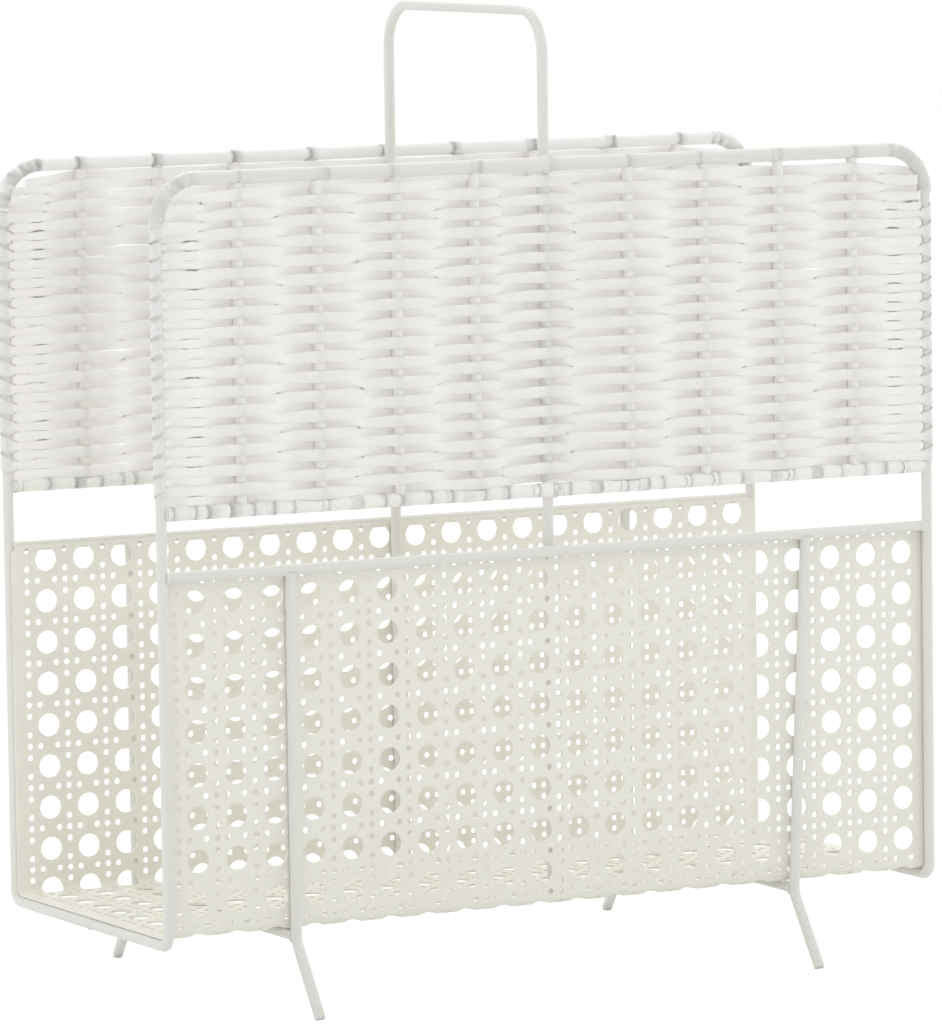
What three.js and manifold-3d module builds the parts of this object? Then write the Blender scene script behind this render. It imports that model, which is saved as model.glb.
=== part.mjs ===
// A free-standing magazine basket: two hoops of bent steel wire carry a woven panel each, and a
// folded pocket of perforated sheet hangs between them on splayed wire legs.
// Millimetres, +Z up. The origin is on the floor under the middle of the basket, the front is -Y.
import * as THREE from "three";
import { mergeVertices } from "three/addons/utils/BufferGeometryUtils.js";
import Module from "manifold-3d";

// Wire and fits
const wireDiameter = 5;
const fitGap = 0.3;

// Hoops, measured between wire centres
const hoopWidth = 400;
const hoopDepth = 166;
const hoopHeight = 344.8;
const baseHeight = 35.5;
const rimCornerRadius = 20;
const baseCornerRadius = 6;

// Carrying handle
const handleRise = 70;
const handleCornerRadius = 20;

// Woven panels
const weaveIntervals = 10;
const windowHeight = 28.5;
const tapeThickness = 0.8;
const tapeSlack = 0.5;
const courseHeight = 8.9;
const courseGap = 0.4;
const bindingSkirt = 3;

// Perforated pocket
const pocketHeight = 166.8;
const sheetThickness = 1;
const sheetEndOverhang = 0.5;
const sheetCornerRadius = 5;
const foldRadius = 4;
const holePitch = 19.5;
const holeDiameter = 11;
const columnShift = 2.25;
const frontRowDrop = 12.2;
const rearRowDrop = 6.5;
const floorRowInset = 0.9;

// Legs
const legPlaceShare = 2 / 3;
const legSplay = 23;
const legBendDrop = 2;
const legBendRadius = 10;
const footFlatDepth = 0.8;
const frontRightLegLean = 8;
const frontLeftLegShift = 2.8;
const rearLegShift = 4.3;

// How finely the round forms are divided
const wireSides = 8;
const rimBendSteps = 6;
const smallBendSteps = 4;
const turnSteps = 4;
const holeSides = 6;
const arcDivisions = 3;

// Worked out from the sizes above
const wireRadius = wireDiameter / 2;
const halfWidth = hoopWidth / 2;
const halfDepth = hoopDepth / 2;
const rimHeight = baseHeight + hoopHeight;
const pocketRailHeight = baseHeight + pocketHeight;
const weaveRailHeight = pocketRailHeight + windowHeight;
const handleHeight = rimHeight + handleRise;
const sheetOffset = wireRadius + fitGap;
const handleOffset = sheetOffset + sheetThickness + fitGap + wireRadius;
const floorUnderside = baseHeight + sheetOffset;
const foldTop = floorUnderside + foldRadius;
const stakeSpacing = hoopWidth / weaveIntervals;
const handleInterval = weaveIntervals / 2;
const wireToWire = wireRadius + fitGap;
const legX = halfWidth * legPlaceShare;
const bindingRadius = wireRadius + fitGap + tapeThickness;

const UP = new THREE.Vector3(0, 0, 1);
const steel = { color: 0xe6e5e0, roughness: 0.45, metalness: 0 };
const sheetSteel = { color: 0xe2e1da, roughness: 0.5, metalness: 0 };
const tape = { color: 0xeeede8, roughness: 0.7, metalness: 0 };

const point = (x, y, z) => new THREE.Vector3(x, y, z);

// One closed solid: a flat section carried from station to station. A station has its place and the
// two axes u and v of the section, and the piece runs on along u x v.
function sweep(section, stations) {
  const count = section.length;
  const positions = [];
  for (const { place, u, v } of stations) {
    for (const corner of section) {
      const vertex = place.clone().addScaledVector(u, corner.x).addScaledVector(v, corner.y);
      positions.push(vertex.x, vertex.y, vertex.z);
    }
  }
  const index = [];
  for (let ring = 0; ring < stations.length - 1; ring++) {
    for (let i = 0; i < count; i++) {
      const a = ring * count + i;
      const b = ring * count + ((i + 1) % count);
      index.push(a, b, b + count, a, b + count, a + count);
    }
  }
  const last = (stations.length - 1) * count;
  for (const [a, b, c] of THREE.ShapeUtils.triangulateShape(section, [])) {
    index.push(a, c, b, last + a, last + b, last + c);
  }
  const geometry = new THREE.BufferGeometry();
  geometry.setAttribute("position", new THREE.Float32BufferAttribute(positions, 3));
  geometry.setIndex(index);
  return geometry;
}

// Stations along straight runs joined by round bends. Each corner is a point with its bend radius
// and its number of steps; the first and the last corner are the ends. v starts as given and is
// carried along without twist.
function route(corners, v) {
  const places = [{ place: corners[0].at, along: direction(corners[0].at, corners[1].at) }];
  for (let i = 1; i < corners.length - 1; i++) {
    const { at, radius, steps } = corners[i];
    const before = direction(corners[i - 1].at, at);
    const after = direction(at, corners[i + 1].at);
    const angle = before.angleTo(after);
    const inward = after.clone().addScaledVector(before, -before.dot(after)).normalize();
    const start = at.clone().addScaledVector(before, -radius * Math.tan(angle / 2));
    const centre = start.clone().addScaledVector(inward, radius);
    for (let step = 0; step <= steps; step++) {
      const turned = (angle * step) / steps;
      const place = centre
        .clone()
        .addScaledVector(inward, -radius * Math.cos(turned))
        .addScaledVector(before, radius * Math.sin(turned));
      const along = before
        .clone()
        .multiplyScalar(Math.cos(turned))
        .addScaledVector(inward, Math.sin(turned));
      places.push({ place, along });
    }
  }
  const end = corners[corners.length - 1].at;
  places.push({ place: end, along: direction(corners[corners.length - 2].at, end) });

  const axis = v.clone();
  return places.map(({ place, along }, i) => {
    if (i > 0) {
      const turn = new THREE.Quaternion().setFromUnitVectors(places[i - 1].along, along);
      axis.applyQuaternion(turn);
    }
    return { place, u: axis.clone().cross(along), v: axis.clone() };
  });
}

function direction(from, to) {
  return to.clone().sub(from).normalize();
}

const wireSection = Array.from({ length: wireSides }, (_, i) => {
  const angle = (2 * Math.PI * i) / wireSides;
  return new THREE.Vector2(wireRadius * Math.cos(angle), wireRadius * Math.sin(angle));
});

// A wire through the given corners. v is any direction square to its first run.
function wire(corners, v = UP) {
  return sweep(wireSection, route(corners, v));
}

const end = (at) => ({ at });
const bend = (at, radius, steps) => ({ at, radius, steps });

// front is -1 for the front frame and 1 for the rear one. inward runs from a hoop's plane to the
// middle of the basket.
const depthAt = (front, inward) => front * (halfDepth - inward);

const basket = new THREE.Group();

function add(name, geometry, look, parent = basket) {
  const mesh = new THREE.Mesh(geometry, new THREE.MeshStandardMaterial(look));
  mesh.name = name;
  parent.add(mesh);
  return mesh;
}

// A hoop starts at mid depth, runs out along the left depth bar, up, over and down again. The two
// hoops butt at mid depth, where the real ones are welded.
function hoop(front) {
  const y = depthAt(front, 0);
  const middle = (front * fitGap) / 2;
  const base = (at) => bend(at, baseCornerRadius, smallBendSteps);
  const rim = (at) => bend(at, rimCornerRadius, rimBendSteps);
  return wire([
    end(point(-halfWidth, middle, baseHeight)),
    base(point(-halfWidth, y, baseHeight)),
    rim(point(-halfWidth, y, rimHeight)),
    rim(point(halfWidth, y, rimHeight)),
    base(point(halfWidth, y, baseHeight)),
    end(point(halfWidth, middle, baseHeight)),
  ]);
}

// The handle's legs stand inside the sheet and end where its floor folds up.
function handle() {
  const y = halfDepth - handleOffset;
  const top = (at) => bend(at, handleCornerRadius, rimBendSteps);
  return wire(
    [
      end(point(0, -y, foldTop)),
      top(point(0, -y, handleHeight)),
      top(point(0, y, handleHeight)),
      end(point(0, y, foldTop)),
    ],
    point(1, 0, 0),
  );
}

function rail(front, height) {
  const reach = halfWidth - wireToWire;
  const y = depthAt(front, 0);
  return wire([end(point(-reach, y, height)), end(point(reach, y, height))]);
}

function stake(front, interval) {
  const x = interval * stakeSpacing - halfWidth;
  const y = depthAt(front, 0);
  const low = point(x, y, weaveRailHeight + wireToWire);
  const high = point(x, y, rimHeight - wireToWire);
  return wire([end(low), end(high)], point(1, 0, 0));
}

// The tape's height on the panel: one course after another between the two bound rails.
const weaveBottom = weaveRailHeight + bindingSkirt + fitGap;
const weaveTop = rimHeight - bindingSkirt - fitGap;
const tapeCourses = Math.round((weaveTop - weaveBottom) / courseHeight);
const coursePitch = (weaveTop - weaveBottom) / tapeCourses;
const tapeHeight = coursePitch - courseGap;
const tapeOffset = wireRadius + tapeSlack + tapeThickness / 2;

// Where the tape turns back between two courses: round the upright, or just inside the rim's round
// corner where the upper course reaches into it.
function turnX(upperEdge) {
  const cornerBase = rimHeight - rimCornerRadius;
  if (upperEdge <= cornerBase) return halfWidth;
  const clear = rimCornerRadius - bindingSkirt - fitGap;
  const rise = Math.min(upperEdge - cornerBase, clear);
  const reach = Math.sqrt(clear * clear - rise * rise);
  return halfWidth - rimCornerRadius + reach - tapeOffset - tapeThickness / 2;
}

// One unbroken tape, in plain weave. It passes before one stake and behind the next, turns round
// the upright and comes back a course higher on the other sides. Each course here stands for two
// turns of the real, narrower tape.
function wovenTape(front) {
  const places = [];
  for (let course = 0; course < tapeCourses; course++) {
    const onward = course % 2 === 0;
    const z = weaveBottom + coursePitch * (course + 0.5);
    for (let step = 1; step < weaveIntervals; step++) {
      const interval = onward ? step : weaveIntervals - step;
      const side = (course + interval) % 2 === 0 ? 1 : -1;
      const centre = interval === handleInterval ? handleOffset : 0;
      const x = interval * stakeSpacing - halfWidth;
      places.push(point(x, depthAt(front, centre + side * tapeOffset), z));
    }
    if (course === tapeCourses - 1) break;
    const outward = onward ? 1 : -1;
    const side = (course + (onward ? weaveIntervals : 0)) % 2 === 0 ? 1 : -1;
    const x = turnX(z + coursePitch + tapeHeight / 2);
    for (let step = 0; step <= turnSteps; step++) {
      const angle = Math.PI * (0.5 - step / turnSteps);
      const across = x + tapeOffset * Math.cos(angle);
      const inward = side * tapeOffset * Math.sin(angle);
      const climb = (coursePitch * step) / turnSteps;
      places.push(point(outward * across, depthAt(front, inward), z + climb));
    }
  }
  const stations = places.map((place, i) => {
    const before = places[Math.max(i - 1, 0)];
    const after = places[Math.min(i + 1, places.length - 1)];
    const along = direction(before, place).add(direction(place, after));
    along.setZ(0).normalize();
    return { place, u: UP.clone().cross(along), v: UP };
  });
  const t = tapeThickness / 2;
  const h = tapeHeight / 2;
  const section = [[-t, -h], [t, -h], [t, h], [-t, h]].map(([x, y]) => new THREE.Vector2(x, y));
  return sweep(section, stations);
}

// Tape wound round a rail, left open on the side where the stakes come out.
function bindingSection() {
  const inner = wireRadius + fitGap;
  const shape = new THREE.Shape();
  shape.moveTo(bindingRadius, -bindingSkirt);
  shape.absarc(0, 0, bindingRadius, 0, Math.PI, false);
  shape.lineTo(-bindingRadius, -bindingSkirt);
  shape.lineTo(-inner, -bindingSkirt);
  shape.absarc(0, 0, inner, Math.PI, 0, true);
  shape.lineTo(inner, -bindingSkirt);
  return shape.getPoints(arcDivisions);
}

// The rim's binding follows the rail and both round corners.
function rimBinding(front) {
  const y = depthAt(front, 0);
  const low = rimHeight - rimCornerRadius;
  const rim = (at) => bend(at, rimCornerRadius, rimBendSteps);
  const corners = [
    end(point(-halfWidth, y, low)),
    rim(point(-halfWidth, y, rimHeight)),
    rim(point(halfWidth, y, rimHeight)),
    end(point(halfWidth, y, low)),
  ];
  return sweep(bindingSection(), route(corners, point(-1, 0, 0)));
}

// The lower rail's binding is open upwards.
function lowerBinding(front) {
  const reach = halfWidth - wireToWire;
  const y = depthAt(front, 0);
  const corners = [end(point(-reach, y, weaveRailHeight)), end(point(reach, y, weaveRailHeight))];
  return sweep(bindingSection(), route(corners, UP.clone().negate()));
}

const sheetHalfLength = halfWidth + sheetEndOverhang;
const holeRadius = holeDiameter / 2;

// The columns of holes stand at the same places in both walls and in the floor.
const columnCount = Math.floor((2 * sheetHalfLength) / holePitch);
const columns = Array.from({ length: columnCount }, (_, i) => {
  return (i - (columnCount - 1) / 2) * holePitch + columnShift;
});

// A wall of the pocket: a plate with round upper corners and its grid of large holes, drawn in
// width and height and extruded by the sheet's thickness.
function pocketWall(rowDrop) {
  const top = pocketRailHeight + wireRadius;
  const outline = new THREE.Shape();
  outline.moveTo(-sheetHalfLength, foldTop);
  outline.lineTo(sheetHalfLength, foldTop);
  const cornerX = sheetHalfLength - sheetCornerRadius;
  const cornerZ = top - sheetCornerRadius;
  outline.absarc(cornerX, cornerZ, sheetCornerRadius, 0, Math.PI / 2, false);
  outline.absarc(-cornerX, cornerZ, sheetCornerRadius, Math.PI / 2, Math.PI, false);
  const lowest = foldTop + holeRadius;
  for (let z = pocketRailHeight - rowDrop; z > lowest; z -= holePitch) {
    for (const x of columns) outline.holes.push(new THREE.Path(holePoints(x, z)));
  }
  const options = { depth: sheetThickness, bevelEnabled: false, curveSegments: arcDivisions };
  return new THREE.ExtrudeGeometry(outline, options);
}

function holePoints(across, up) {
  return Array.from({ length: holeSides }, (_, i) => {
    const angle = (2 * Math.PI * (i + 0.5)) / holeSides;
    const x = across + holeRadius * Math.cos(angle);
    return new THREE.Vector2(x, up + holeRadius * Math.sin(angle));
  });
}

// The floor with the two folds that lead up into the walls, drawn in depth and height and extruded
// along the basket's width.
function floorPlate() {
  const outerY = halfDepth - sheetOffset;
  const foldY = outerY - foldRadius;
  const inner = foldRadius - sheetThickness;
  const profile = new THREE.Shape();
  profile.absarc(-foldY, foldTop, foldRadius, Math.PI, 1.5 * Math.PI, false);
  profile.absarc(foldY, foldTop, foldRadius, 1.5 * Math.PI, 2 * Math.PI, false);
  profile.absarc(foldY, foldTop, inner, 2 * Math.PI, 1.5 * Math.PI, true);
  profile.absarc(-foldY, foldTop, inner, 1.5 * Math.PI, Math.PI, true);
  const length = 2 * sheetHalfLength;
  const options = { depth: length, bevelEnabled: false, curveSegments: smallBendSteps };
  const plate = new THREE.ExtrudeGeometry(profile, options);
  plate.translate(0, 0, -sheetHalfLength);
  plate.rotateZ(Math.PI / 2);
  plate.rotateY(Math.PI / 2);
  return plate;
}

const wasm = await Module();
wasm.setup();

function solid(geometry) {
  geometry.deleteAttribute("normal");
  geometry.deleteAttribute("uv");
  const merged = mergeVertices(geometry);
  return new wasm.Manifold(
    new wasm.Mesh({
      numProp: 3,
      vertProperties: new Float32Array(merged.attributes.position.array),
      triVerts: new Uint32Array(merged.index.array),
    }),
  );
}

function geometryOf(manifold) {
  const mesh = manifold.getMesh();
  const geometry = new THREE.BufferGeometry();
  geometry.setAttribute("position", new THREE.BufferAttribute(mesh.vertProperties, 3));
  geometry.setIndex(new THREE.BufferAttribute(mesh.triVerts, 1));
  return geometry;
}

// A leg hangs from the pocket rail, bends out under the basket and ends square, with the lowest
// edge of the cut ground flat where it stands.
function leg(front, topX, lowX) {
  const y = depthAt(front, 0);
  const bendHeight = baseHeight - legBendDrop;
  const slope = Math.atan2(legSplay, bendHeight);
  const footHeight = wireRadius * Math.sin(slope) - footFlatDepth;
  const whole = wire(
    [
      end(point(topX, y, pocketRailHeight - wireToWire)),
      bend(point(lowX, y, bendHeight), legBendRadius, smallBendSteps),
      end(point(lowX, y + front * legSplay, footHeight)),
    ],
    point(0, 1, 0),
  );
  const ground = new THREE.BoxGeometry(hoopWidth, hoopWidth, baseHeight);
  ground.translate(0, 0, -baseHeight / 2);
  return geometryOf(solid(whole).subtract(solid(ground)));
}

// The rows of holes run on across the floor, as far as they lie clear of both folds.
function pocketFloor() {
  const foldY = halfDepth - sheetOffset - foldRadius;
  const reach = foldY - holeRadius;
  const punches = [];
  for (let y = floorRowInset + holePitch - foldY; y < reach; y += holePitch) {
    for (const x of columns) punches.push(new THREE.Shape(holePoints(x, y)));
  }
  const punch = new THREE.ExtrudeGeometry(punches, { depth: baseHeight, bevelEnabled: false });
  punch.translate(0, 0, floorUnderside - baseHeight / 2);
  return geometryOf(solid(floorPlate()).subtract(solid(punch)));
}

// A cross bar lies under the pocket's floor from the front leg to the rear one.
function crossBar(frontX, rearX) {
  const reach = halfDepth - wireToWire;
  return wire([end(point(frontX, -reach, baseHeight)), end(point(rearX, reach, baseHeight))]);
}

for (const [word, front] of [["front", -1], ["rear", 1]]) {
  add(`${word}_hoop`, hoop(front), steel);
  for (let interval = 1, number = 1; interval < weaveIntervals; interval++) {
    if (interval === handleInterval) continue;
    add(`${word}_stake_${number}`, stake(front, interval), steel);
    number += 1;
  }
  add(`${word}_weave_rail`, rail(front, weaveRailHeight), steel);
  add(`${word}_pocket_rail`, rail(front, pocketRailHeight), steel);
  add(`${word}_woven_tape`, wovenTape(front), tape);
  add(`${word}_rim_binding`, rimBinding(front), tape);
  add(`${word}_lower_binding`, lowerBinding(front), tape);
}
add("carry_handle", handle(), steel);

const walls = [
  ["pocket_front_wall", frontRowDrop, -(halfDepth - sheetOffset) + sheetThickness],
  ["pocket_rear_wall", rearRowDrop, halfDepth - sheetOffset],
];
for (const [name, rowDrop, y] of walls) {
  const wall = add(name, pocketWall(rowDrop), sheetSteel);
  wall.rotation.x = Math.PI / 2;
  wall.position.y = y;
}
add("pocket_floor", pocketFloor(), sheetSteel);

const frontLeftX = -legX - frontLeftLegShift;
const frontRightX = legX - frontRightLegLean;
const rearLeftX = -legX - rearLegShift;
const rearRightX = legX - rearLegShift;
add("front_left_leg", leg(-1, frontLeftX, frontLeftX), steel);
add("front_right_leg", leg(-1, legX, frontRightX), steel);
add("rear_left_leg", leg(1, rearLeftX, rearLeftX), steel);
add("rear_right_leg", leg(1, rearRightX, rearRightX), steel);
add("left_cross_bar", crossBar(frontLeftX, rearLeftX), steel);
add("right_cross_bar", crossBar(frontRightX, rearRightX), steel);

export default basket;
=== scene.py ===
"""A magazine basket of coated steel wire, woven tape and perforated sheet, dressed on its fixed frame.

Everything is in metres, with the origin on the floor under the middle of the basket, the front
towards -Y and +Z up. Sizes come from the frame, or are fields of the class that makes the piece.
"""

import logging
import math
import random
from contextlib import contextmanager
from dataclasses import dataclass, field
from enum import Enum
from typing import Callable, Iterator, Sequence

import bmesh
import bpy
from mathutils import Euler, Matrix, Vector

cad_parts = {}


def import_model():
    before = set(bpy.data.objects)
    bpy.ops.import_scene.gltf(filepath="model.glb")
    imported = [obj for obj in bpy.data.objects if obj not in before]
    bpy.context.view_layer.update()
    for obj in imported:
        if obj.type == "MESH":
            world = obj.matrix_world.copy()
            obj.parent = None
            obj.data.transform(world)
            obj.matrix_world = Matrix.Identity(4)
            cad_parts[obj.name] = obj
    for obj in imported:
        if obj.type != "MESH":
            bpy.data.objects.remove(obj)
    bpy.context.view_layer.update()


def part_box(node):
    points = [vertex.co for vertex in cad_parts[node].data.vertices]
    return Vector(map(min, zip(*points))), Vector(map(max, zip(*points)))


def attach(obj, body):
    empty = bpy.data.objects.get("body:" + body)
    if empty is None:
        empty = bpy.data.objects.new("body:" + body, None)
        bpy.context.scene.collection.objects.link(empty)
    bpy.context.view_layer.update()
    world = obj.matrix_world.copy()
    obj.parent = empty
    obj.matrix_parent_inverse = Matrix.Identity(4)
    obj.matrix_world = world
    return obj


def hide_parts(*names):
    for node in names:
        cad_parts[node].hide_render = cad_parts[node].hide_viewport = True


LOG = logging.getLogger("basket")
MM = 0.001
DOUBLED = 0.002 * MM
UP = Vector((0, 0, 1))
RIGHT = Vector((1, 0, 0))
BODY = "root"
STAKES = 8
Piece = bpy.types.Object
Material = bpy.types.Material
Tree = bpy.types.NodeTree
Socket = bpy.types.NodeSocket


class Half(Enum):
    """One of the basket's two halves; the value is its sign along the axis between them."""

    @property
    def word(self) -> str:
        """The half's name as the frame's nodes spell it."""
        return self.name.lower()


class Side(Half):
    """The front and the rear, along Y."""

    FRONT = -1
    REAR = 1


class Hand(Half):
    """The left and the right, along X."""

    LEFT = -1
    RIGHT = 1


class Slot(Enum):
    """The record's material slots."""

    WIRE = "coated_wire"
    SHEET = "coated_sheet"
    TAPE = "woven_tape"


class Relief(Enum):
    """How the tape's fine relief lies."""

    RIBS = "along the tape, by the piece's own map"
    GRAIN = "in all directions"


# Bench: small helpers for modelling in edit mode


def deselect() -> None:
    """Leave no object selected, so that the next operator acts on nothing else."""
    bpy.ops.object.select_all(action="DESELECT")


def pick(pieces: Sequence[Piece]) -> None:
    """Select these objects alone and make the first one active.

    Args:
        pieces: The objects to select.
    """
    deselect()
    for piece in pieces:
        piece.select_set(True)
    bpy.context.view_layer.objects.active = pieces[0]


def take_new() -> Piece:
    """Put the place of the object that was just made into its mesh.

    Returns:
        The object.
    """
    piece = bpy.context.object
    pick([piece])
    bpy.ops.object.transform_apply(location=True, rotation=True, scale=True)
    return piece


@contextmanager
def editing(piece: Piece, whole: bool = False) -> Iterator[None]:
    """Open an object in edit mode with nothing or all of it selected, and close it afterwards.

    Args:
        piece: The object to edit.
        whole: Whether all of it is selected.
    """
    pick([piece])
    bpy.ops.object.mode_set(mode="EDIT")
    bpy.ops.mesh.select_mode(type="VERT")
    bpy.ops.mesh.select_all(action="SELECT" if whole else "DESELECT")
    try:
        yield
    finally:
        bpy.ops.object.mode_set(mode="OBJECT")


def select_points(piece: Piece, wanted: Callable[[Vector], bool]) -> None:
    """In edit mode, select the points that pass a test on their place, with all between them.

    Args:
        piece: The object in edit mode.
        wanted: The test.
    """
    mesh = bmesh.from_edit_mesh(piece.data)
    bpy.ops.mesh.select_mode(type="VERT")
    for vertex in mesh.verts:
        vertex.select = wanted(vertex.co)
    mesh.select_mode = {"VERT"}
    mesh.select_flush_mode()
    bmesh.update_edit_mesh(piece.data)


def pull(by: Vector) -> None:
    """Extrude what is selected along a straight way."""
    bpy.ops.mesh.extrude_region_move(TRANSFORM_OT_translate={"value": tuple(by)})


def turn(angle: float, axis: str, centre: Vector) -> None:
    """Turn what is selected by the right-hand rule; with no window the operator turns the other way."""
    place = {"orient_axis": axis, "orient_type": "GLOBAL", "center_override": tuple(centre)}
    bpy.ops.transform.rotate(value=-angle, **place)


def merge_and_face_out(piece: Piece) -> None:
    """Merge a closed mesh's doubled points and turn all its faces outwards."""
    with editing(piece, whole=True):
        bpy.ops.mesh.remove_doubles(threshold=DOUBLED)
        bpy.ops.mesh.normals_make_consistent(inside=False)


def smooth(piece: Piece, degrees: float = 40.0) -> None:
    """Shade an object smooth, except across edges sharper than an angle."""
    pick([piece])
    bpy.ops.object.shade_smooth_by_angle(angle=math.radians(degrees))


def apply_modifier(piece: Piece, kind: str, **settings: object) -> None:
    """Give an object a modifier and apply it.

    Args:
        piece: The object.
        kind: The modifier's type.
        **settings: The modifier's properties.
    """
    pick([piece])
    modifier = piece.modifiers.new(kind.title(), kind)
    for key, value in settings.items():
        setattr(modifier, key, value)
    bpy.ops.object.modifier_apply(modifier=modifier.name)


def copy_to(pattern: Piece, place: Matrix) -> Piece:
    """Copy an object with its own mesh.

    Args:
        pattern: The object to copy.
        place: Where the copy goes.

    Returns:
        The copy.
    """
    pick([pattern])
    bpy.ops.object.duplicate(linked=False)
    twin = bpy.context.object
    twin.matrix_world = place
    return twin


def dress(
    name: str, parts: Sequence[Piece], material: Material, nodes: Sequence[str] = ()
) -> None:
    """Join parts into a finished piece, with its material, its body and the nodes it stands for.

    Args:
        name: The piece's name.
        parts: The parts, which may still have a place and a turn of their own.
        material: Its only material.
        nodes: The frame's nodes that it replaces.
    """
    pick(parts)
    bpy.ops.object.transform_apply(location=True, rotation=True, scale=True)
    if len(parts) > 1:
        bpy.ops.object.join()
    piece = bpy.context.object
    piece.name = name
    piece.data.name = name
    piece.data.materials.clear()
    piece.data.materials.append(material)
    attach(piece, BODY)
    if nodes:
        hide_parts(*nodes)
    LOG.info("%s: %d faces", piece.name, len(piece.data.polygons))


# Sizes


@dataclass(frozen=True)
class BasketSizes:
    """The sizes that several sub-assemblies share, read from the frame's nodes."""

    wire_radius: float
    half_width: float
    half_depth: float
    base_height: float
    rim_height: float
    weave_rail_height: float
    pocket_rail_height: float
    handle_half_depth: float
    handle_height: float
    handle_foot: float
    stakes: tuple[float, ...]
    rim_corner: float = 20 * MM
    base_corner: float = 6 * MM
    fit_gap: float = 0.3 * MM

    @classmethod
    def from_frame(cls) -> "BasketSizes":
        """Measure the nodes of the front frame and the handle.

        Returns:
            The sizes.
        """
        rail_low, rail_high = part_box("front_weave_rail")
        pocket_low, pocket_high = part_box("front_pocket_rail")
        hoop_low, hoop_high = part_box("front_hoop")
        handle_low, handle_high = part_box("carry_handle")
        radius = (rail_high.z - rail_low.z) / 2
        stakes = [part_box(f"front_stake_{number}") for number in range(1, STAKES + 1)]
        return cls(
            wire_radius=radius,
            half_width=hoop_high.x - radius,
            half_depth=-hoop_low.y - radius,
            base_height=hoop_low.z + radius,
            rim_height=hoop_high.z - radius,
            weave_rail_height=(rail_low.z + rail_high.z) / 2,
            pocket_rail_height=(pocket_low.z + pocket_high.z) / 2,
            handle_half_depth=handle_high.y - radius,
            handle_height=handle_high.z - radius,
            handle_foot=handle_low.z,
            stakes=tuple((low.x + high.x) / 2 for low, high in stakes),
        )

    def depth(self, side: Side, inward: float = 0.0) -> float:
        """The place along Y of a point so far inside a frame's plane."""
        return side.value * (self.half_depth - inward)


# Finishes


def linear(code: str) -> tuple[float, float, float, float]:
    """Turn an sRGB colour to linear values.

    Args:
        code: Six hex digits.

    Returns:
        Linear red, green and blue, with an alpha of 1.
    """
    parts = [int(code[i : i + 2], 16) / 255 for i in (0, 2, 4)]
    values = [p / 12.92 if p <= 0.04045 else ((p + 0.055) / 1.055) ** 2.4 for p in parts]
    return (values[0], values[1], values[2], 1.0)


WHITE = linear("FFFFFF")


def add_node(tree: Tree, kind: str, inputs: dict[str | int, object], **settings: object) -> bpy.types.Node:
    """Add a node with its settings, values and links.

    Args:
        tree: The node tree.
        kind: The node's type.
        inputs: For each input, a value or an output socket to link.
        **settings: The node's own properties.

    Returns:
        The node.
    """
    node = tree.nodes.new(kind)
    for key, value in settings.items():
        setattr(node, key, value)
    for key, value in inputs.items():
        if isinstance(value, Socket):
            tree.links.new(value, node.inputs[key])
        else:
            node.inputs[key].default_value = value
    return node


def new_material(name: str) -> tuple[Material, Tree]:
    """Start a node material with nothing in it.

    Args:
        name: The material's name.

    Returns:
        The material and its node tree.
    """
    material = bpy.data.materials.new(name)
    material.use_nodes = True
    tree = material.node_tree
    tree.nodes.clear()
    return material, tree


def drifting_tone(tree: Tree, place: Socket, colours: tuple[str, str], clouds: dict[str, float]) -> Socket:
    """Let a finish drift between two tones in soft clouds.

    Args:
        tree: The node tree.
        place: The socket with the place on the piece.
        colours: Both tones as hex values.
        clouds: The noise's scale, detail and roughness.

    Returns:
        The socket with the tone.
    """
    drift = add_node(tree, "ShaderNodeTexNoise", {"Vector": place, **clouds}).outputs["Fac"]
    # Counted from 0, the mix node's colour inputs are 6 and 7, and its colour output is 2
    tones = {0: drift, 6: linear(colours[0]), 7: linear(colours[1])}
    return add_node(tree, "ShaderNodeMix", tones, data_type="RGBA").outputs[2]


@dataclass(frozen=True)
class PowderCoat:
    """Powder coat on steel: a thick baked skin with a soft gloss and a faint orange peel.

    The powder melts into a skin that is never quite level, so the gloss breaks up in ripples a
    millimetre or two wide, and the tone drifts a little where the skin is thicker.
    """

    name: str
    colour: str
    shade: str
    roughness: float = 0.42
    gloss_spread: float = 0.05
    peel: float = 1.6 * MM
    peel_height: float = 0.02 * MM
    drift: float = 45 * MM

    def material(self) -> Material:
        """Build the material.

        Returns:
            The material.
        """
        material, tree = new_material(self.name)
        place = add_node(tree, "ShaderNodeTexCoord", {}).outputs["Object"]
        clouds = {"Scale": 1 / self.drift, "Detail": 3.0, "Roughness": 0.55}
        ripples = {"Vector": place, "Scale": 1 / self.peel, "Detail": 1.0, "Roughness": 0.4}
        peel = add_node(tree, "ShaderNodeTexNoise", ripples).outputs["Fac"]
        gloss = {
            "Value": peel,
            "To Min": self.roughness - self.gloss_spread,
            "To Max": self.roughness + self.gloss_spread,
        }
        relief = {"Height": peel, "Distance": self.peel_height, "Strength": 0.6}
        skin = {
            "Base Color": drifting_tone(tree, place, (self.colour, self.shade), clouds),
            "Roughness": add_node(tree, "ShaderNodeMapRange", gloss).outputs["Result"],
            "IOR": 1.5,
            "Normal": add_node(tree, "ShaderNodeBump", relief).outputs["Normal"],
        }
        shader = add_node(tree, "ShaderNodeBsdfPrincipled", skin)
        add_node(tree, "ShaderNodeOutputMaterial", {"Surface": shader.outputs["BSDF"]})
        return material


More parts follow.
